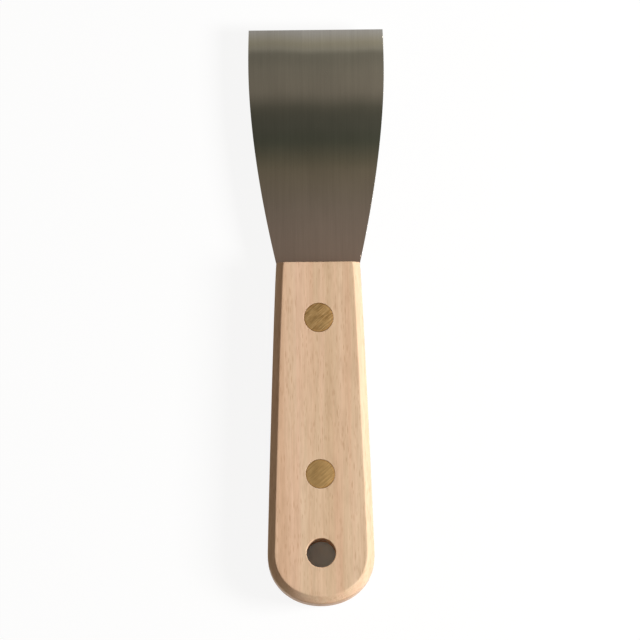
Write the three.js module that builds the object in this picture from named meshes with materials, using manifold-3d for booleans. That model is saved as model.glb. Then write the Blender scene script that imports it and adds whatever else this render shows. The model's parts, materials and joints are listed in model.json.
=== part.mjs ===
// Flexible putty knife. A taper-ground spring-steel blade runs on as a full-length tang between
// two beech scales. Two brass cutler's rivets hold the scales on, and a hang hole passes through
// the butt of the handle. Each rivet is a pair: a headed tube from the front, and a headed solid
// post pressed into it from the back.
//
// Millimetres. +Y runs along the knife towards the working edge, +X across it, and +Z out of the
// front face. The knife lies on its back face at z = 0, and the origin is under the middle of
// its length.
import * as THREE from "three";
import { mergeVertices } from "three/addons/utils/BufferGeometryUtils.js";
import Module from "manifold-3d";

const wasm = await Module();
wasm.setup();

// Blade
const bladeLength = 86.8; // bare steel ahead of the handle
const bladeWidth = 50; // across the widest place
const edgeWidth = 49.4; // along the working edge
const widestSetback = 14; // from the working edge back to the widest place
const flankShoulder = 16; // how far the flank holds its full width before it turns in
const flankWaist = 33; // how far the flank runs straight into the neck
const neckAngle = 12.9; // degrees between the flank and the centre line at the neck
const edgeThickness = 0.4;
const taperLength = 74; // ground back from the working edge

// Handle
const handleLength = 126.1;
const neckWidth = 30.8; // blade and handle are flush where they meet
const handleWidth = 39.3; // at its widest, where the rounded butt begins
const buttLength = 18.3; // from the widest place to the end of the butt
const flareAngle = 4.5; // degrees that each side opens by at the front
const flareReach = 14; // how far each side holds that angle
const sideReach = 4; // how far each side runs parallel before the butt
const tangThickness = 1;
const scaleThickness = 7.9;
const chamferWidth = 2.6; // measured across the face
const chamferDepth = 2.6; // measured down the side

// Rivets and hang hole, with their places measured back from the front of the handle
const rivetSetbacks = { blade_end: 20.6, butt_end: 78.4 };
const rivetHeadDiameter = 10.6;
const rivetHeadThickness = 2.4;
const rivetTubeDiameter = 6.2;
const rivetPostDiameter = 3.6;
const rivetEndGap = 0.8; // left ahead of the tube and of the post, so that both heads seat
const fitGap = 0.1; // radial gap round heads, tubes and posts
const hangHoleSetback = 107.5;
const hangHoleDiameter = 10.8;

// Fineness of curves
const sideSteps = 14; // along each curved stretch of an outline
const taperSteps = 16;
const roundSteps = 48; // round a full turn
const overcut = 4; // how far a cutter passes a face

// Places that follow from the sizes
const handleThickness = 2 * scaleThickness + tangThickness;
const midZ = handleThickness / 2;
const tangTop = midZ + tangThickness / 2;
const tangBottom = midZ - tangThickness / 2;
const edgeY = (bladeLength + handleLength) / 2;
const frontY = edgeY - bladeLength;
const buttY = frontY - handleLength;
const degrees = THREE.MathUtils.degToRad;

// ---- Solids ----

function solidOf(geometry) {
  const bare = geometry.clone();
  bare.deleteAttribute("normal");
  bare.deleteAttribute("uv");
  const merged = mergeVertices(bare, 1e-4);
  return new wasm.Manifold(
    new wasm.Mesh({
      numProp: 3,
      vertProperties: merged.attributes.position.array,
      triVerts: new Uint32Array(merged.index.array),
    }),
  );
}

function geometryOf(solid) {
  const { vertProperties, triVerts } = solid.getMesh();
  const shared = new THREE.BufferGeometry();
  shared.setAttribute("position", new THREE.BufferAttribute(vertProperties, 3));
  shared.setIndex(new THREE.BufferAttribute(triVerts, 1));
  const geometry = shared.toNonIndexed();
  geometry.computeVertexNormals();
  return geometry;
}

// A round cutter along Z on the centre line, from z = low to z = high.
function roundCutter(diameter, y, low, high) {
  const radius = diameter / 2;
  const cylinder = new THREE.CylinderGeometry(radius, radius, high - low, roundSteps);
  cylinder.rotateX(Math.PI / 2);
  cylinder.translate(0, y, (low + high) / 2);
  return solidOf(cylinder);
}

// A block that spans more than the whole knife across X, for cutting and keeping.
function block(lowY, highY, lowZ, highZ) {
  const box = new THREE.BoxGeometry(2 * bladeWidth + handleWidth, highY - lowY, highZ - lowZ);
  box.translate(0, (lowY + highY) / 2, (lowZ + highZ) / 2);
  return solidOf(box);
}

// ---- Outlines ----

// One half of the handle in plan, from its front corner to the middle of the butt: a side that
// opens at the flare angle and ends parallel to the centre line, then the rounded butt.
function handleSide() {
  const widestY = buttY + buttLength;
  const roundness = 0.58; // 0.55 would be a true quarter ellipse; more is fuller
  const side = new THREE.CubicBezierCurve(
    new THREE.Vector2(neckWidth / 2, frontY),
    new THREE.Vector2(
      neckWidth / 2 + flareReach * Math.tan(degrees(flareAngle)),
      frontY - flareReach,
    ),
    new THREE.Vector2(handleWidth / 2, widestY + sideReach),
    new THREE.Vector2(handleWidth / 2, widestY),
  );
  const butt = new THREE.CubicBezierCurve(
    new THREE.Vector2(handleWidth / 2, widestY),
    new THREE.Vector2(handleWidth / 2, widestY - roundness * buttLength),
    new THREE.Vector2((roundness * handleWidth) / 2, buttY),
    new THREE.Vector2(0, buttY),
  );
  return [...side.getPoints(sideSteps), ...butt.getPoints(sideSteps).slice(1)];
}

// One half of the bare blade in plan, from the corner of the working edge to the neck. The flank
// swells slightly to the widest place, then turns in to the neck.
function bladeFlank() {
  const widestY = edgeY - widestSetback;
  const inward = degrees(neckAngle);
  const swell = new THREE.QuadraticBezierCurve(
    new THREE.Vector2(edgeWidth / 2, edgeY),
    new THREE.Vector2(bladeWidth / 2, (edgeY + widestY) / 2),
    new THREE.Vector2(bladeWidth / 2, widestY),
  );
  const flank = new THREE.CubicBezierCurve(
    new THREE.Vector2(bladeWidth / 2, widestY),
    new THREE.Vector2(bladeWidth / 2, widestY - flankShoulder),
    new THREE.Vector2(
      neckWidth / 2 + flankWaist * Math.sin(inward),
      frontY + flankWaist * Math.cos(inward),
    ),
    new THREE.Vector2(neckWidth / 2, frontY),
  );
  return [...swell.getPoints(sideSteps / 2), ...flank.getPoints(sideSteps).slice(1)];
}

// A closed shape from one half of an outline and its mirror image across the centre line.
function mirrored(half) {
  const onAxis = (point) => Math.abs(point.x) < 1e-9;
  const other = half.filter((point) => !onAxis(point));
  const reflected = other.map((point) => new THREE.Vector2(-point.x, point.y)).reverse();
  return new THREE.Shape([...half, ...reflected]);
}

// ---- Blade ----

// Thickness at a distance back from the working edge: an even rise over the ground length that
// starts and ends level, as the grinding runs in and out.
function thicknessAt(setback) {
  const share = Math.min(setback / taperLength, 1);
  const rise = Math.sin((share * Math.PI) / 2) ** 2;
  return edgeThickness + (tangThickness - edgeThickness) * rise;
}

// The steel seen from the side, carried right across the knife.
function sideProfile() {
  const setbacks = Array.from({ length: taperSteps + 1 }, (_, i) => (i * taperLength) / taperSteps);
  setbacks.push(bladeLength + handleLength + overcut);
  const face = (sign) =>
    setbacks.map((back) => new THREE.Vector2(edgeY - back, midZ + (sign * thicknessAt(back)) / 2));
  const shape = new THREE.Shape([...face(1), ...face(-1).reverse()]);
  const span = bladeWidth + handleWidth;
  const slab = new THREE.ExtrudeGeometry(shape, { depth: span, bevelEnabled: false });
  slab.translate(0, 0, -span / 2);
  slab.applyMatrix4(
    new THREE.Matrix4().makeBasis(
      new THREE.Vector3(0, 1, 0),
      new THREE.Vector3(0, 0, 1),
      new THREE.Vector3(1, 0, 0),
    ),
  );
  return solidOf(slab);
}

function blade() {
  const outline = mirrored([...bladeFlank(), ...handleSide().slice(1)]);
  const sheet = new THREE.ExtrudeGeometry(outline, {
    depth: handleThickness,
    bevelEnabled: false,
  });
  let steel = solidOf(sheet).intersect(sideProfile());
  for (const setback of Object.values(rivetSetbacks)) {
    const bore = rivetTubeDiameter + 2 * fitGap;
    steel = steel.subtract(roundCutter(bore, frontY - setback, 0, handleThickness));
  }
  const hang = roundCutter(hangHoleDiameter, frontY - hangHoleSetback, 0, handleThickness);
  return geometryOf(steel.subtract(hang));
}

// ---- Scales ----

// Both scales as one block, shaped and bored together: the sides and butt are chamfered on both
// faces, and the front is cut square.
function handleBlock() {
  const corner = handleSide()[0];
  const aheadOfFront = new THREE.Vector2(corner.x, frontY + overcut);
  const outline = mirrored([aheadOfFront, ...handleSide()]);
  const wood = new THREE.ExtrudeGeometry(outline, {
    depth: handleThickness - 2 * chamferDepth,
    bevelEnabled: true,
    bevelThickness: chamferDepth,
    bevelSize: chamferWidth,
    bevelOffset: -chamferWidth,
    bevelSegments: 1,
  });
  wood.translate(0, 0, chamferDepth);
  let shaped = solidOf(wood).intersect(
    block(buttY - overcut, frontY, -overcut, handleThickness + overcut),
  );
  const through = [-overcut, handleThickness + overcut];
  for (const setback of Object.values(rivetSetbacks)) {
    const y = frontY - setback;
    const headSeat = rivetHeadDiameter + 2 * fitGap;
    shaped = shaped
      .subtract(roundCutter(rivetTubeDiameter + 2 * fitGap, y, ...through))
      .subtract(roundCutter(headSeat, y, -overcut, rivetHeadThickness))
      .subtract(roundCutter(headSeat, y, handleThickness - rivetHeadThickness, through[1]));
  }
  return shaped.subtract(roundCutter(hangHoleDiameter, frontY - hangHoleSetback, ...through));
}

function scale(lowZ, highZ) {
  return geometryOf(handleBlock().intersect(block(buttY - overcut, frontY + overcut, lowZ, highZ)));
}

// ---- Rivets ----

// A piece turned round Z from a profile of [radius, z] points that starts and ends on the axis.
function turned(profile) {
  const points = profile.map(([radius, z]) => new THREE.Vector2(radius, z));
  const piece = new THREE.LatheGeometry(points, roundSteps);
  piece.rotateX(Math.PI / 2);
  return piece;
}

// The front half: a flush head on a tube that reaches nearly to the other head.
function rivetTube() {
  const underHead = handleThickness - rivetHeadThickness;
  const tubeEnd = rivetHeadThickness + rivetEndGap;
  const bore = rivetPostDiameter / 2 + fitGap;
  return turned([
    [0, underHead],
    [bore, underHead],
    [bore, tubeEnd],
    [rivetTubeDiameter / 2, tubeEnd],
    [rivetTubeDiameter / 2, underHead],
    [rivetHeadDiameter / 2, underHead],
    [rivetHeadDiameter / 2, handleThickness],
    [0, handleThickness],
  ]);
}

// The back half: a flush head on a solid post that fills the tube.
function rivetPost() {
  const postEnd = handleThickness - rivetHeadThickness - rivetEndGap;
  return turned([
    [0, 0],
    [rivetHeadDiameter / 2, 0],
    [rivetHeadDiameter / 2, rivetHeadThickness],
    [rivetPostDiameter / 2, rivetHeadThickness],
    [rivetPostDiameter / 2, postEnd],
    [0, postEnd],
  ]);
}

// ---- Materials and assembly ----

const satinSteel = { color: 0x6b665c, roughness: 0.35, metalness: 1 };
const beech = { color: 0xd3b294, roughness: 0.6, metalness: 0 };
const sandedBrass = { color: 0x9b7d50, roughness: 0.4, metalness: 1 };

const knife = new THREE.Group();
knife.name = "putty_knife";

function add(name, geometry, finish) {
  const mesh = new THREE.Mesh(geometry, new THREE.MeshStandardMaterial(finish));
  mesh.name = name;
  knife.add(mesh);
  return mesh;
}

add("blade", blade(), satinSteel);
add("front_scale", scale(tangTop, handleThickness), beech);
add("back_scale", scale(0, tangBottom), beech);
for (const [end, setback] of Object.entries(rivetSetbacks)) {
  const tube = add(`${end}_rivet_tube`, rivetTube(), sandedBrass);
  const post = add(`${end}_rivet_post`, rivetPost(), sandedBrass);
  tube.position.y = frontY - setback;
  post.position.y = frontY - setback;
}

export default knife;
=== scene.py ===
# A flexible putty knife, put together as it is made: the ground steel blade with its tang, the
# two beech scales, and the two pairs of brass rivet halves. Metres, in the frame of the CAD model.
import json
import math

import bmesh
import bpy
import numpy as np
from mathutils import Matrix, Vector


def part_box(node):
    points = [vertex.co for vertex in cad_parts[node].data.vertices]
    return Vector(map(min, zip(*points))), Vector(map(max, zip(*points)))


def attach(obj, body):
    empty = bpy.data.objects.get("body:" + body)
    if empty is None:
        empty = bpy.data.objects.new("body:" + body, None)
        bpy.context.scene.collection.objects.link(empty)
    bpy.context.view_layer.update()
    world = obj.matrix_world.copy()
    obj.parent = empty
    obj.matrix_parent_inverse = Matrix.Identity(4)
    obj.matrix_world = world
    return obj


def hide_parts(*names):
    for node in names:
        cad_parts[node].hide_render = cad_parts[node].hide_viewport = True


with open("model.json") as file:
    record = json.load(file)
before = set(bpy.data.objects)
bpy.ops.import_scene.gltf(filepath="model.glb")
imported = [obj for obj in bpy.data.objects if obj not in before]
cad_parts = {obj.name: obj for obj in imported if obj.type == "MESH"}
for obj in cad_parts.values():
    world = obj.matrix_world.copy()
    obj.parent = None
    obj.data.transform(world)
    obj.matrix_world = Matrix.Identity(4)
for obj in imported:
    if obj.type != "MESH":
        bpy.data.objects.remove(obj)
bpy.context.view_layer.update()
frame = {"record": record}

mm = 0.001

# ---- The blade ----
# Spring steel strip, 1 mm thick, ground lengthwise on both faces to a thin working edge. It runs
# on between the scales as a tang of the handle's own outline, with holes through it for the two
# rivets and for hanging.

blade_low, blade_high = (np.array(corner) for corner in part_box("blade"))
scale_low, scale_high = (np.array(corner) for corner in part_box("front_scale"))
edge_y, butt_y, front_y = blade_high[1], blade_low[1], scale_high[1]
mid_z = (blade_low[2] + blade_high[2]) / 2

edge_half_width = 24.7 * mm
widest_half_width = blade_high[0]
widest_setback = 14 * mm
swell_reach = 5 * mm
flank_shoulder = 16 * mm
flank_waist = 33 * mm
neck_angle = math.radians(12.9)
neck_half_width = 15.4 * mm
tang_half_thickness = (blade_high[2] - blade_low[2]) / 2
edge_half_thickness = 0.2 * mm
taper_length = 74 * mm
steel_arris = 0.01 * mm
steel_rim = 4 * steel_arris  # from the outline in to where the faces begin

handle_half_width = scale_high[0]
butt_length = 18.3 * mm
flare_angle = math.radians(4.5)
flare_reach = 14 * mm
side_reach = 4 * mm
butt_roundness = 0.58

opening = np.array(frame["record"]["physics"]["openings"][0]["box_m"])
hang_hole = (opening[0, :2] + opening[1, :2]) / 2
hang_radius = 5.4 * mm
rivets = {}
for end in ("blade_end", "butt_end"):
    low, high = (np.array(corner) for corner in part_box(f"{end}_rivet_tube"))
    rivets[end] = (low[:2] + high[:2]) / 2
rivet_radius = (high[0] - low[0]) / 2  # the same for both
tube_radius = 3.1 * mm
fit_gap = 0.1 * mm
tube_hole_radius = tube_radius + fit_gap
between_rivets = (rivets["blade_end"][1] + rivets["butt_end"][1]) / 2
before_hole = (rivets["butt_end"][1] + hang_hole[1]) / 2

swell_steps, flank_steps, side_steps, butt_steps = 12, 60, 44, 36
across = np.linspace(-1, 1, 25)  # places across the knife, as shares of its half width
face_shares = np.array([0, 0.05, 0.15, 0.4, 0.7, 0.92, 1])  # from a hole's rim out to the border
end_shares = np.array([0.03, 0.3, 1])  # from the border of a square end in to its middle
weld_distance = 1e-7
crease_angle = math.radians(40)


def bezier(points, steps):
    """Cubic curve: (1-t)^3 a + 3 (1-t)^2 t b + 3 (1-t) t^2 c + t^3 d for even steps of t."""
    t = np.linspace(0, 1, steps + 1)[:, None]
    a, b, c, d = np.array(points, float)
    return (1 - t) ** 3 * a + 3 * (1 - t) ** 2 * t * b + 3 * (1 - t) * t**2 * c + t**3 * d


def handle_outline():
    """Right half of the handle in plan, front corner to butt: a flared side, then a round end."""
    widest_y = butt_y + butt_length
    side = bezier(
        [
            (neck_half_width, front_y),
            (neck_half_width + flare_reach * math.tan(flare_angle), front_y - flare_reach),
            (handle_half_width, widest_y + side_reach),
            (handle_half_width, widest_y),
        ],
        side_steps,
    )
    butt = bezier(
        [
            (handle_half_width, widest_y),
            (handle_half_width, widest_y - butt_roundness * butt_length),
            (butt_roundness * handle_half_width, butt_y),
            (0, butt_y),
        ],
        butt_steps,
    )
    return np.concatenate([side, butt[1:]])


def blade_outline():
    """Right half of the bare blade in plan, edge corner to neck: a slight swell, then the flank."""
    widest_y = edge_y - widest_setback
    bulge = widest_half_width - edge_half_width
    swell = bezier(
        [
            (edge_half_width, edge_y),
            (widest_half_width - bulge / 3, edge_y - swell_reach),
            (widest_half_width, widest_y + swell_reach),
            (widest_half_width, widest_y),
        ],
        swell_steps,
    )
    flank = bezier(
        [
            (widest_half_width, widest_y),
            (widest_half_width, widest_y - flank_shoulder),
            (
                neck_half_width + flank_waist * math.sin(neck_angle),
                front_y + flank_waist * math.cos(neck_angle),
            ),
            (neck_half_width, front_y),
        ],
        flank_steps,
    )
    return np.concatenate([swell, flank[1:]])


def inward(outline):
    """Unit normals into the knife: each row's direction along the outline, turned by 90 degrees. The
    first points straight at the centre line and the last straight along it."""
    along = np.gradient(outline, axis=0)
    normal = np.stack([along[:, 1], -along[:, 0]], axis=1)
    normal[0] = (-1, 0)
    normal[-1] = (0, 1)
    return normal / np.linalg.norm(normal, axis=1)[:, None]


def rounded(corners, reaches, steps=4):
    """A line through corners, with each inner corner c eased between the points a and b that lie a
    reach before and after it: (1-t)^2 a + 2 t (1-t) c + t^2 b."""
    corners = np.array(corners, float)
    t = np.linspace(0, 1, steps + 1)[:, None]
    line = [corners[:1]]
    for before, corner, after, reach in zip(corners[:-2], corners[1:-1], corners[2:], reaches):
        start = corner + reach * (before - corner) / np.linalg.norm(before - corner)
        end = corner + reach * (after - corner) / np.linalg.norm(after - corner)
        line.append((1 - t) ** 2 * start + 2 * t * (1 - t) * corner + t**2 * end)
    return np.concatenate(line + [corners[-1:]])


def carried(outline, normal, inset, height):
    """A profile carried along an outline: outline + inset * normal in plan, each at its height."""
    plan = outline[:, None, :] + np.asarray(inset)[None, :, None] * normal[:, None, :]
    return np.dstack([plan, np.broadcast_to(height, plan.shape[:2])])


def mirrored(sheet):
    """The same sheet on the other side of the centre line."""
    return sheet * np.array([-1.0, 1.0, 1.0])


def grid_face(outline, height):
    """A face between mirrored outlines: x is the half width times a share from -1 to 1, row by row."""
    x = outline[:, :1] * across[None, :]
    y = np.broadcast_to(outline[:, 1:], x.shape)
    return np.dstack([x, y, np.broadcast_to(height, x.shape)])


def border(outline):
    """The closed border of such a face: across at its first row, down, across at its last, up."""
    first = np.stack([outline[0, 0] * across, np.full(across.size, outline[0, 1])], axis=1)
    last = np.stack([outline[-1, 0] * across[::-1], np.full(across.size, outline[-1, 1])], axis=1)
    left = outline[::-1] * np.array([-1, 1])
    return np.concatenate([first, outline[1:-1], last, left[1:]])


def rows_at(outline, *places):
    """The row of an outline nearest to each place along the knife."""
    return [int(np.argmin(np.abs(outline[:, 1] - place))) for place in places]


def holed_face(outline, centre, radius, height, angle=None):
    """A face with a round hole: rim + share * (border - rim) along straight lines out from the rim,
    and the angles of those lines round the hole's centre."""
    edge = border(outline)
    if angle is None:
        angle = np.arctan2(edge[:, 1] - centre[1], edge[:, 0] - centre[0])
    rim = centre + radius * np.stack([np.cos(angle), np.sin(angle)], axis=1)
    plan = rim[None] + face_shares[:, None, None] * (edge - rim)[None]
    return np.dstack([plan, np.full(plan.shape[:2], height)]), angle


def turned(profile, centre, angle):
    """A profile turned about an upright axis: centre + radius * (cos angle, sin angle), at height."""
    radius, height = np.array(profile, float).T
    x = centre[0] + radius[:, None] * np.cos(angle)[None, :]
    y = centre[1] + radius[:, None] * np.sin(angle)[None, :]
    return np.dstack([x, y, np.broadcast_to(height[:, None], x.shape)])


def end_face(loop, y, ease):
    """A square end: a closed loop is eased over a quarter circle, in by ease * (1 - cos turn) and on
    by ease * sin turn, and then closes on its middle."""
    middle = (loop.min(axis=0) + loop.max(axis=0)) / 2
    towards = middle - loop
    towards[:, 1] = 0
    towards /= np.linalg.norm(towards, axis=1)[:, None]
    turn = np.linspace(0, math.pi / 2, 5)[:, None, None]
    eased = loop[None] + ease * (1 - np.cos(turn)) * towards[None]
    eased[:, :, 1] = (y - ease + ease * np.sin(turn))[:, :, 0]
    close = eased[-1:] + end_shares[:, None, None] * (middle - eased[-1:])
    close[:, :, 1] = y
    return np.concatenate([eased, close])


def section_loop(faces):
    """One closed loop from the first rows of the sheets that meet at a square end."""
    return np.concatenate(faces + [faces[0][:1]])


def joined(name, sheets, material, slot, *nodes):
    """One closed piece from grids of points: neighbours in a grid make quads, and the grids are welded
    where their borders meet."""
    faces, start = [], 0
    for sheet in sheets:
        rows, columns = sheet.shape[:2]
        index = start + np.arange(rows * columns).reshape(rows, columns)
        quads = [index[:-1, :-1], index[:-1, 1:], index[1:, 1:], index[1:, :-1]]
        faces.append(np.stack(quads, axis=-1).reshape(-1, 4))
        start += rows * columns
    points = np.concatenate([sheet.reshape(-1, 3) for sheet in sheets])
    mesh = bpy.data.meshes.new(name)
    mesh.from_pydata(points.tolist(), [], np.concatenate(faces).tolist())
    shell = bmesh.new()
    shell.from_mesh(mesh)
    bmesh.ops.remove_doubles(shell, verts=shell.verts, dist=weld_distance)
    bmesh.ops.dissolve_degenerate(shell, edges=shell.edges, dist=weld_distance)
    bmesh.ops.recalc_face_normals(shell, faces=shell.faces)
    shell.to_mesh(mesh)
    shell.free()
    mesh.polygons.foreach_set("use_smooth", np.ones(len(mesh.polygons), bool))
    mesh.set_sharp_from_angle(angle=crease_angle)
    mesh.materials.append(material)
    piece = bpy.data.objects.new(name, mesh)
    bpy.context.scene.collection.objects.link(piece)
    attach(piece, "root")
    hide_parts(*nodes)
    return piece


def new_material(name):
    """An empty node material and its tree."""
    material = bpy.data.materials.new(name)
    material.use_nodes = True
    material.node_tree.nodes.clear()
    return material, material.node_tree


def add(tree, kind, sockets=(), **settings):
    """A shader node with its settings. Each socket, by name or place, is set to a value or joined to
    an output."""
    node = tree.nodes.new(kind)
    for key, value in settings.items():
        setattr(node, key, value)
    for key, value in dict(sockets).items():
        if isinstance(value, bpy.types.NodeSocket):
            tree.links.new(value, node.inputs[key])
        else:
            node.inputs[key].default_value = value
    return node


def combined(tree, operation, *values, clamp=False):
    """Values combined by a Math node."""
    node = add(tree, "ShaderNodeMath", enumerate(values), operation=operation, use_clamp=clamp)
    return node.outputs[0]


def stretched(tree, scale, turn=0.0):
    """Object coordinates turned about Z, then scaled along each axis, in steps per metre."""
    place = add(tree, "ShaderNodeTexCoord").outputs["Object"]
    turned_place = add(
        tree, "ShaderNodeVectorRotate", {"Vector": place, "Angle": turn}, rotation_type="Z_AXIS"
    )
    sockets = {0: turned_place.outputs[0], 1: scale}
    return add(tree, "ShaderNodeVectorMath", sockets, operation="MULTIPLY").outputs[0]


def noise(tree, scale, detail=2.0, roughness=0.5, turn=0.0, distortion=0.0):
    """Noise in cells of 1/scale metres along each axis."""
    sockets = {
        "Vector": stretched(tree, scale, turn),
        "Scale": 1.0,
        "Detail": detail,
        "Roughness": roughness,
        "Distortion": distortion,
    }
    return add(tree, "ShaderNodeTexNoise", sockets).outputs["Fac"]


def ramp(tree, value, stops, interpolation="LINEAR"):
    """Colours between stops of (place, colour)."""
    node = add(tree, "ShaderNodeValToRGB", {"Fac": value})
    node.color_ramp.interpolation = interpolation
    while len(node.color_ramp.elements) < len(stops):
        node.color_ramp.elements.new(0.5)
    for element, (place, colour) in zip(node.color_ramp.elements, stops):
        element.position = place
        element.color = (*colour, 1)
    return node.outputs["Color"]


def between(tree, value, low, high, low_result=0.0, high_result=1.0, kind="SMOOTHSTEP"):
    """Map Range: low to high becomes low_result to high_result."""
    sockets = {"Value": value, 1: low, 2: high, 3: low_result, 4: high_result}
    return add(tree, "ShaderNodeMapRange", sockets, interpolation_type=kind).outputs[0]


def mixed(tree, blend, share, first, second):
    """The first colour, with a share of the second blended in."""
    sockets = {0: share, 6: first, 7: second}
    return add(tree, "ShaderNodeMix", sockets, data_type="RGBA", blend_type=blend).outputs[2]


def ground_steel():
    """Satin steel with lengthwise grinding lines. Along the blade its colour is the steel's grey with
    painted reflection over it: bright at the working edge, dark where the taper is steepest, and paler
    again towards the neck. Across the blade it has painted shade, darker on the left."""
    material, tree = new_material("ground_spring_steel")
    place = add(tree, "ShaderNodeTexCoord").outputs["Object"]
    x, y, _ = add(tree, "ShaderNodeSeparateXYZ", {0: place}).outputs
    # Painted reflection: light and dark bands by setback from the edge, for the room mirrored in the
    # grind.
    wander = noise(tree, (60, 25, 60), detail=2)
    setback = combined(tree, "SUBTRACT", edge_y, y)
    setback = combined(tree, "ADD", setback, between(tree, wander, 0, 1, -mm, mm, "LINEAR"))
    along = combined(tree, "DIVIDE", setback, edge_y - front_y, clamp=True)
    painted_reflection_tone = ramp(
        tree,
        along,
        [
            (0.00, (0.95, 0.90, 0.82)),
            (0.05, (0.76, 0.69, 0.52)),
            (0.085, (0.62, 0.565, 0.43)),
            (0.105, (0.435, 0.395, 0.298)),
            (0.18, (0.46, 0.405, 0.303)),
            (0.27, (0.43, 0.373, 0.278)),
            (0.33, (0.24, 0.219, 0.159)),
            (0.42, (0.176, 0.171, 0.123)),
            (0.50, (0.19, 0.182, 0.124)),
            (0.60, (0.35, 0.288, 0.193)),
            (0.77, (0.452, 0.351, 0.263)),
            (1.00, (0.53, 0.385, 0.29)),
        ],
        "CARDINAL",
    )
    # Painted shade: the steel is darker on the left, away from the lamp, and lighter on the right.
    painted_side_shade = between(tree, x, -widest_half_width, widest_half_width, 0.88, 1.09, "LINEAR")
    broad = between(tree, noise(tree, (900, 12, 300), 3), 0.3, 0.7, 0.965, 1.035, "LINEAR")
    fine = between(tree, noise(tree, (9000, 90, 3000), 2), 0.3, 0.7, 0.96, 1.04, "LINEAR")
    level = combined(tree, "MULTIPLY", combined(tree, "MULTIPLY", painted_side_shade, broad), fine)
    shade = add(tree, "ShaderNodeCombineXYZ", {0: level, 1: level, 2: level}).outputs[0]
    painted_reflection_tone = mixed(tree, "MULTIPLY", 1.0, painted_reflection_tone, shade)
    smudge = noise(tree, (70, 45, 70), detail=4, roughness=0.6)
    rough = between(tree, smudge, 0.3, 0.75, 0.27, 0.36, "LINEAR")
    lines = add(
        tree,
        "ShaderNodeBump",
        {"Strength": 0.25, "Distance": 0.01 * mm, "Height": noise(tree, (7000, 60, 3000), 3)},
    )
    tangent = add(tree, "ShaderNodeTangent", direction_type="UV_MAP", uv_map="along")
    shader = add(
        tree,
        "ShaderNodeBsdfPrincipled",
        {
            "Base Color": painted_reflection_tone,
            "Metallic": 1.0,
            "Roughness": rough,
            "Anisotropic": 0.5,
            "Normal": lines.outputs[0],
            "Tangent": tangent.outputs[0],
        },
    )
    add(tree, "ShaderNodeOutputMaterial", {"Surface": shader.outputs[0]})
    return material


def blade_sheets():
    """The blade's surface: faces that follow the taper, a rim all round, a square working edge, and
    a tang with two rivet holes and the hang hole through it."""
    outline = np.concatenate([blade_outline(), handle_outline()[1:]])
    outline[0, 1] -= steel_arris
    normal = inward(outline)
    setback = np.clip((edge_y - outline[:, 1]) / taper_length, 0, 1)
    rise = np.sin(setback * math.pi / 2) ** 2
    half = edge_half_thickness + (tang_half_thickness - edge_half_thickness) * rise
    rim = rounded([(steel_rim, 0), (0, 0), (0, 1.5 * steel_arris)], [steel_arris])
    inset = np.concatenate([rim[:-1, 0], rim[-2::-1, 0]])
    drop = np.concatenate([rim[:-1, 1], rim[-2::-1, 1]])
    upper = np.arange(inset.size) < inset.size / 2
    height = mid_z + np.where(upper, half[:, None] - drop, drop - half[:, None])
    right = carried(outline, normal, inset, height)
    inner = outline + steel_rim * normal
    left = mirrored(right)
    top_z, under_z = mid_z + tang_half_thickness, mid_z - tang_half_thickness
    neck, first, second = rows_at(inner, front_y, between_rivets, before_hole)
    front = grid_face(inner[: neck + 1], (mid_z + half)[: neck + 1, None])
    back = grid_face(inner[: neck + 1], (mid_z - half)[: neck + 1, None])
    loop = section_loop([front[0], right[0, 1:], back[0, ::-1][1:], left[0, ::-1][1:-1]])
    sheets = [front, back, right, left, end_face(loop, edge_y, steel_arris)]
    stretches = [
        (rivets["blade_end"], tube_hole_radius, inner[neck : first + 1]),
        (rivets["butt_end"], tube_hole_radius, inner[first : second + 1]),
        (hang_hole, hang_radius, inner[second:]),
    ]
    for centre, radius, stretch in stretches:
        top, angle = holed_face(stretch, centre, radius, top_z)
        under, _ = holed_face(stretch, centre, radius, under_z, angle)
        wall = turned([(radius, top_z), (radius, under_z)], centre, angle)
        sheets += [top, under, wall]
    return sheets


blade = joined("ground_blade", blade_sheets(), ground_steel(), "spring_steel", "blade")

# The satin of the steel is stretched along the grinding lines, so its map runs along the blade.
corners = np.zeros(len(blade.data.loops), int)
blade.data.loops.foreach_get("vertex_index", corners)
places = np.zeros(len(blade.data.vertices) * 3)
blade.data.vertices.foreach_get("co", places)
places = places.reshape(-1, 3)[corners]
grain_map = blade.data.uv_layers.new(name="along")
grain_map.data.foreach_set("uv", np.stack([places[:, 1], -places[:, 0]], axis=1).ravel())

# ---- The scales ----
# Two slabs of steamed beech, cut with the grain along the knife. They are shaped on the tang, then
# a router takes a 45 degree chamfer round the sides and butt of each, and they are sanded and sealed.

chamfer = 2.6 * mm
face_arris = 0.35 * mm
side_arris = 0.5 * mm
inner_arris = 0.15 * mm
front_ease = 0.3 * mm
hole_ease = 0.25 * mm
seat_ease = 0.12 * mm
hole_lip = 2 * hole_ease
seat_lip = 3 * seat_ease
face_inset = chamfer + 0.8 * mm
inner_inset = 0.6 * mm
front_blend = 8 * mm  # along which the chamfer turns square to the front end
rivet_head = 2.4 * mm


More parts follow.
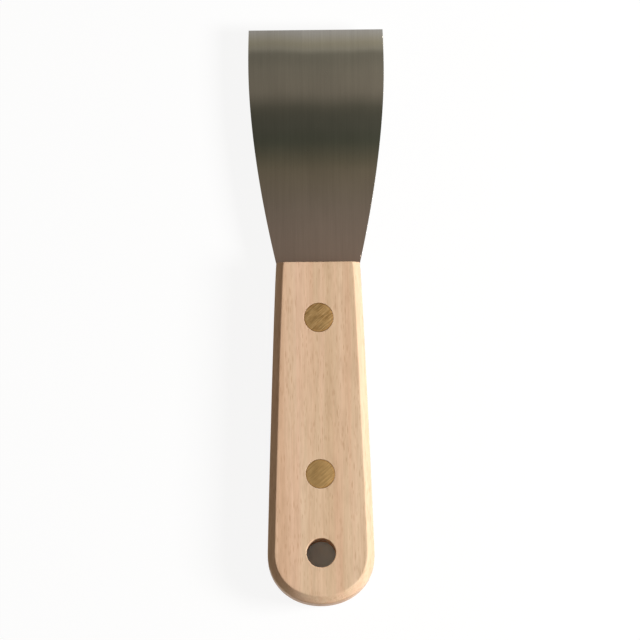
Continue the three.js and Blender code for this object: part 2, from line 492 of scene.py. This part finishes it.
def scale_sheets(top_z, inner_z):
    """One scale's surface: a flat face with two stepped rivet holes and the hang hole, the profile of
    its chamfered side carried round it, its flat inner face, and the square front end. Near the
    front the profile's normals turn from the outline's own to straight in, so that end is flat."""
    side = handle_outline()
    side[0, 1] -= front_ease
    normal = inward(side)
    away = np.clip((front_y - side[:, 1]) / front_blend, 0, 1)[:, None]
    straight_in = np.array([-1.0, 0.0])
    normal = away * normal + (1 - away) * straight_in
    normal /= np.linalg.norm(normal, axis=1)[:, None]
    into = math.copysign(1, inner_z - top_z)
    depth = abs(inner_z - top_z)
    profile = rounded(
        [(face_inset, 0), (chamfer, 0), (0, chamfer), (0, depth), (inner_inset, depth)],
        [face_arris, side_arris, inner_arris],
    )
    right = carried(side, normal, profile[:, 0], top_z + into * profile[:, 1])
    left = mirrored(right)
    face, inner = side + face_inset * normal, side + inner_inset * normal
    first, second = rows_at(side, between_rivets, before_hole)
    sheets = [right, left]
    seats = [
        (rivets["blade_end"], slice(0, first + 1)),
        (rivets["butt_end"], slice(first, second + 1)),
    ]
    seat = rivet_radius + fit_gap
    for centre, rows in seats:
        wall = rounded(
            [
                (seat + seat_lip, 0),
                (seat, 0),
                (seat, rivet_head),
                (tube_hole_radius, rivet_head),
                (tube_hole_radius, depth),
            ],
            [seat_ease, seat_ease, seat_ease],
        )
        plane, angle = holed_face(face[rows], centre, seat + seat_lip, top_z)
        under, _ = holed_face(inner[rows], centre, tube_hole_radius, inner_z, angle)
        sheets += [plane, under, turned(wall * (1, into) + (0, top_z), centre, angle)]
    plane, angle = holed_face(face[second:], hang_hole, hang_radius + hole_lip, top_z)
    under, _ = holed_face(inner[second:], hang_hole, hang_radius + hole_ease, inner_z, angle)
    wall = rounded(
        [
            (hang_radius + hole_lip, 0),
            (hang_radius, 0),
            (hang_radius, depth),
            (hang_radius + hole_ease, depth),
        ],
        [hole_ease, inner_arris],
    )
    hole = turned(wall * (1, into) + (0, top_z), hang_hole, angle)
    top_row = grid_face(face[:1], top_z)[0]
    inner_row = grid_face(inner[:1], inner_z)[0]
    loop = section_loop([top_row, right[0, 1:], inner_row[::-1][1:], left[0, ::-1][1:-1]])
    return sheets + [plane, under, hole, end_face(loop, front_y, front_ease)]


def beech():
    """Sealed beech. Faint growth bands and fibres run along the knife, with the short brown flecks of
    beech over them. All of it is solid, so the ends show it as end grain."""
    material, tree = new_material("sealed_beech")
    normal = add(tree, "ShaderNodeTexCoord").outputs["Normal"]
    lengthwise = add(tree, "ShaderNodeSeparateXYZ", {0: normal}).outputs[1]
    end_on = between(tree, combined(tree, "ABSOLUTE", lengthwise), 0.65, 1.0)
    bands = noise(tree, (170, 5, 260), detail=3, roughness=0.55, distortion=0.4)
    wood = ramp(
        tree,
        bands,
        [
            (0.25, (0.60, 0.403, 0.265)),
            (0.45, (0.66, 0.466, 0.321)),
            (0.58, (0.695, 0.495, 0.35)),
            (0.78, (0.735, 0.54, 0.402)),
        ],
    )
    fibres = noise(tree, (2600, 60, 2600), detail=3, roughness=0.6)
    fibre_tone = ramp(tree, fibres, [(0.3, (0.80, 0.76, 0.72)), (0.7, (1.1, 1.1, 1.1))])
    wood = mixed(tree, "MULTIPLY", 0.35, wood, fibre_tone)
    clouds = noise(tree, (800, 130, 800), detail=2, roughness=0.5)
    cloud_tone = ramp(tree, clouds, [(0.3, (0.83, 0.80, 0.76)), (0.68, (1.08, 1.08, 1.08))])
    wood = mixed(tree, "MULTIPLY", 0.4, wood, cloud_tone)
    hues = noise(tree, (330, 9, 330), detail=2)
    hue_tone = ramp(tree, hues, [(0.38, (1.0, 0.965, 0.95)), (0.62, (0.975, 1.01, 0.985))])
    wood = mixed(tree, "MULTIPLY", 1.0, wood, hue_tone)
    fleck = 0.0
    for cells, turn in (((1400, 290, 1400), 0.02), ((1100, 190, 1100), -0.03)):
        place = stretched(tree, cells, turn)
        cell = add(tree, "ShaderNodeTexVoronoi", {"Vector": place, "Scale": 1.0})
        near = between(tree, cell.outputs["Distance"], 0.1, 0.42, 1.0, 0.0)
        pick = add(tree, "ShaderNodeSeparateColor", {0: cell.outputs["Color"]}).outputs[0]
        drawn = combined(tree, "MULTIPLY", near, between(tree, pick, 0.1, 0.9))
        fleck = combined(tree, "MAXIMUM", drawn, fleck)
    gathered = between(tree, noise(tree, (260, 60, 260), 2), 0.35, 0.6, 0.45, 1.0)
    fleck = combined(tree, "MULTIPLY", fleck, gathered)
    fleck_share = combined(tree, "MULTIPLY", fleck, 0.38)
    wood = mixed(tree, "MULTIPLY", fleck_share, wood, (0.58, 0.44, 0.33, 1))
    end_share = combined(tree, "MULTIPLY", end_on, 0.65)
    wood = mixed(tree, "MULTIPLY", end_share, wood, (0.74, 0.62, 0.52, 1))
    grain = combined(tree, "ADD", fibres, combined(tree, "MULTIPLY", fleck, -0.5))
    bump = add(tree, "ShaderNodeBump", {"Strength": 0.35, "Distance": 0.05 * mm, "Height": grain})
    rough = between(tree, bands, 0.3, 0.7, 0.52, 0.62, "LINEAR")
    shader = add(
        tree,
        "ShaderNodeBsdfPrincipled",
        {
            "Base Color": wood,
            "Roughness": rough,
            "Specular IOR Level": 0.15,
            "Normal": bump.outputs[0],
        },
    )
    add(tree, "ShaderNodeOutputMaterial", {"Surface": shader.outputs[0]})
    return material


scale_wood = beech()
handle_top, tang_top = scale_high[2], scale_low[2]
handle_bottom, tang_bottom = (corner[2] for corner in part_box("back_scale"))
front_sheets = scale_sheets(handle_top, tang_top)
joined("beech_front_scale", front_sheets, scale_wood, "beech", "front_scale")
back_sheets = scale_sheets(handle_bottom, tang_bottom)
joined("beech_back_scale", back_sheets, scale_wood, "beech", "back_scale")

# ---- The rivets ----
# Brass cutler's rivets in two halves, a headed tube and a headed post driven into it. The heads
# fill their seats and are sanded flush with the wood, which leaves fine slanting scratches.

post_radius = 1.8 * mm
end_gap = 0.8 * mm
head_arris = 0.04 * mm
stem_arris = 0.05 * mm
rim_shade_width = 0.7 * mm
scratch_slant = math.radians(50)
round_angles = np.linspace(0, 2 * math.pi, 97)


def sanded_brass(name, centre, scored, stained):
    """Brass dulled by the sealer, with slanting sanding scratches of two widths, scored so deep,
    stained so much in patches, and with painted shade round the head's rim, where it meets its seat."""
    material, tree = new_material(name)
    fine = noise(tree, (9000, 260, 9000), detail=3, turn=scratch_slant)
    broad = noise(tree, (2200, 120, 2200), detail=2, turn=scratch_slant)
    stain = noise(tree, (420, 420, 420), detail=3)
    fine_half = combined(tree, "MULTIPLY", fine, 0.5)
    scratches = combined(tree, "ADD", fine_half, combined(tree, "MULTIPLY", broad, 0.5))
    scratch_tone = ramp(
        tree,
        scratches,
        [(0.34, (0.44, 0.26, 0.095)), (0.5, (0.68, 0.42, 0.167)), (0.66, (0.88, 0.585, 0.27))],
    )
    brass = mixed(tree, "MIX", scored, (0.70, 0.435, 0.17, 1), scratch_tone)
    stain_tone = ramp(tree, stain, [(0.35, (0.78, 0.70, 0.62)), (0.6, (1, 1, 1))])
    brass = mixed(tree, "MULTIPLY", stained, brass, stain_tone)
    place = add(tree, "ShaderNodeTexCoord").outputs["Object"]
    level = add(tree, "ShaderNodeVectorMath", {0: place, 1: (1, 1, 0)}, operation="MULTIPLY")
    apart = add(
        tree, "ShaderNodeVectorMath", {0: level.outputs[0], 1: (*centre, 0)}, operation="DISTANCE"
    )
    # Painted shade: a ring darkened round the head's rim, where it meets its seat; it is made rougher
    # too.
    rim = between(tree, apart.outputs["Value"], rivet_radius - rim_shade_width, rivet_radius, 0.0, 0.7)
    brass = mixed(tree, "MULTIPLY", rim, brass, (0.5, 0.4, 0.3, 1))
    rough = between(tree, fine, 0.3, 0.7, 0.34, 0.5, "LINEAR")
    rough = combined(tree, "ADD", rough, combined(tree, "MULTIPLY", rim, 0.2))
    bump = add(
        tree,
        "ShaderNodeBump",
        {"Strength": 0.4 * scored, "Distance": 0.02 * mm, "Height": scratches},
    )
    shader = add(
        tree,
        "ShaderNodeBsdfPrincipled",
        {"Base Color": brass, "Metallic": 1.0, "Roughness": rough, "Normal": bump.outputs[0]},
    )
    add(tree, "ShaderNodeOutputMaterial", {"Surface": shader.outputs[0]})
    return material


def rivet_sheets(centre, head_z, into, stem):
    """A half rivet: its profile turned from the middle of its head, over the head's arris, to the end
    of its stem."""
    corners = [(0, 0), (rivet_radius, 0), (rivet_radius, rivet_head), (stem[0][0], rivet_head)]
    reaches = [head_arris, head_arris] + [stem_arris] * (len(stem) - 1)
    profile = rounded(corners + stem[1:], reaches)
    return [turned(profile * (1, into) + (0, head_z), centre, round_angles)]


handle_depth = handle_top - handle_bottom
tube_bore = post_radius + fit_gap
tube_end = handle_depth - rivet_head - end_gap
tube_stem = [(tube_radius, rivet_head), (tube_radius, tube_end), (tube_bore, tube_end)]
tube_stem += [(tube_bore, rivet_head), (0, rivet_head)]
post_stem = [(post_radius, rivet_head), (post_radius, tube_end), (0, tube_end)]
finishes = {
    "blade_end": sanded_brass("coarsely_sanded_brass", rivets["blade_end"], 1.0, 0.8),
    "butt_end": sanded_brass("finely_sanded_brass", rivets["butt_end"], 0.5, 0.35),
}
for end, centre in rivets.items():
    sheets = rivet_sheets(centre, handle_top, -1, tube_stem)
    joined(f"brass_{end}_tube", sheets, finishes[end], "brass", f"{end}_rivet_tube")
    sheets = rivet_sheets(centre, handle_bottom, 1, post_stem)
    joined(f"brass_{end}_post", sheets, finishes[end], "brass", f"{end}_rivet_post")

# ---- The studio ----
# The knife lies on a white table under a dim ceiling, with one soft lamp low on its right. The
# camera looks down through a long lens, from a little on the butt's side of upright.

view_width = 235.8 * mm
view_tilt = math.radians(5.6)
view_roll = math.radians(-0.6)
view_middle = np.array([0.5 * mm, -1.1 * mm, mid_z])
lens = 1000.0
sensor = 36.0
camera_data = bpy.data.cameras.new("camera")
camera_data.lens = lens
camera_data.sensor_width = sensor
camera = bpy.data.objects.new("camera", camera_data)
view_axis = np.array(
    [
        math.sin(view_roll) * math.sin(view_tilt),
        -math.cos(view_roll) * math.sin(view_tilt),
        math.cos(view_tilt),
    ]
)
camera.location = view_middle + view_axis * view_width * lens / sensor
camera.rotation_euler = (view_tilt, 0, view_roll)
bpy.context.scene.collection.objects.link(camera)
bpy.context.scene.camera = camera


def shown_rays(tree):
    """1 for rays from the camera or off gloss or glass, and 0 for those that light the knife."""
    rays = add(tree, "ShaderNodeLightPath").outputs
    glossy_or_glass = combined(tree, "MAXIMUM", rays["Is Glossy Ray"], rays["Is Transmission Ray"])
    return combined(tree, "MAXIMUM", rays["Is Camera Ray"], glossy_or_glass)


def table_top():
    """White, and shown paler than it is lit, so that the shadow stays faint. The spot under the hang
    hole is painted light: a little bluer, with a faint glow, and otherwise shown as it is lit."""
    material, tree = new_material("white_table")
    place = add(tree, "ShaderNodeTexCoord").outputs["Object"]
    apart = add(
        tree, "ShaderNodeVectorMath", {0: place, 1: (*hang_hole, 0)}, operation="DISTANCE"
    ).outputs["Value"]
    beyond = between(tree, apart, 1.3 * hang_radius, 1.4 * hang_radius)
    # Painted light: under the hang hole a bluer tint and a faint glow lift the shade seen through it.
    open_table = between(tree, beyond, 0, 1, 0.022, 0.9, "LINEAR")
    paint = mixed(tree, "MIX", beyond, (0.78, 0.93, 1.0, 1), (0.9, 0.9, 0.9, 1))
    lit = add(tree, "ShaderNodeBsdfDiffuse", {"Color": paint})
    pale = add(tree, "ShaderNodeEmission", {"Color": (1, 1, 1, 1), "Strength": 1.0})
    share = combined(tree, "MULTIPLY", shown_rays(tree), open_table)
    shader = add(tree, "ShaderNodeMixShader", {0: share, 1: lit.outputs[0], 2: pale.outputs[0]})
    add(tree, "ShaderNodeOutputMaterial", {"Surface": shader.outputs[0]})
    return material


reach = 4.0
table_corners = [(-reach, -reach, 0), (reach, -reach, 0), (reach, reach, 0), (-reach, reach, 0)]
table_mesh = bpy.data.meshes.new("table")
table_mesh.from_pydata(table_corners, [], [(0, 1, 2, 3)])
table_mesh.materials.append(table_top())
table = bpy.data.objects.new("table", table_mesh)
bpy.context.scene.collection.objects.link(table)


def lamp(name, azimuth, elevation, distance, width, height, power):
    """A soft rectangular lamp that faces the knife from an azimuth and elevation in degrees."""
    data = bpy.data.lights.new(name, "AREA")
    data.shape = "RECTANGLE"
    data.size, data.size_y, data.energy = width, height, power
    lamp_object = bpy.data.objects.new(name, data)
    round_by, up_by = math.radians(azimuth), math.radians(elevation)
    lamp_object.location = (
        distance * math.cos(up_by) * math.cos(round_by),
        distance * math.cos(up_by) * math.sin(round_by),
        distance * math.sin(up_by),
    )
    lamp_object.rotation_euler = (math.pi / 2 - up_by, 0, round_by + math.pi / 2)
    bpy.context.scene.collection.objects.link(lamp_object)


lamp("key", azimuth=-6, elevation=34, distance=1.2, width=0.4, height=0.4, power=23)


def grey(level):
    """An even grey."""
    return (level, level, level)


world = bpy.data.worlds.new("studio")
world.use_nodes = True
sky = world.node_tree
sky.nodes.clear()
direction = add(sky, "ShaderNodeTexCoord").outputs["Generated"]
up = add(sky, "ShaderNodeSeparateXYZ", {0: direction}).outputs[2]
shown = ramp(sky, up, [(0.0, grey(0.95)), (0.35, grey(0.8)), (0.75, grey(0.32)), (1.0, grey(0.27))])
sky_colour = mixed(sky, "MIX", shown_rays(sky), (0.165, 0.131, 0.092, 1), shown)
background = add(sky, "ShaderNodeBackground", {"Color": sky_colour, "Strength": 1.0})
add(sky, "ShaderNodeOutputWorld", {"Surface": background.outputs[0]})
bpy.context.scene.world = world
bpy.context.scene.view_settings.view_transform = "Standard"
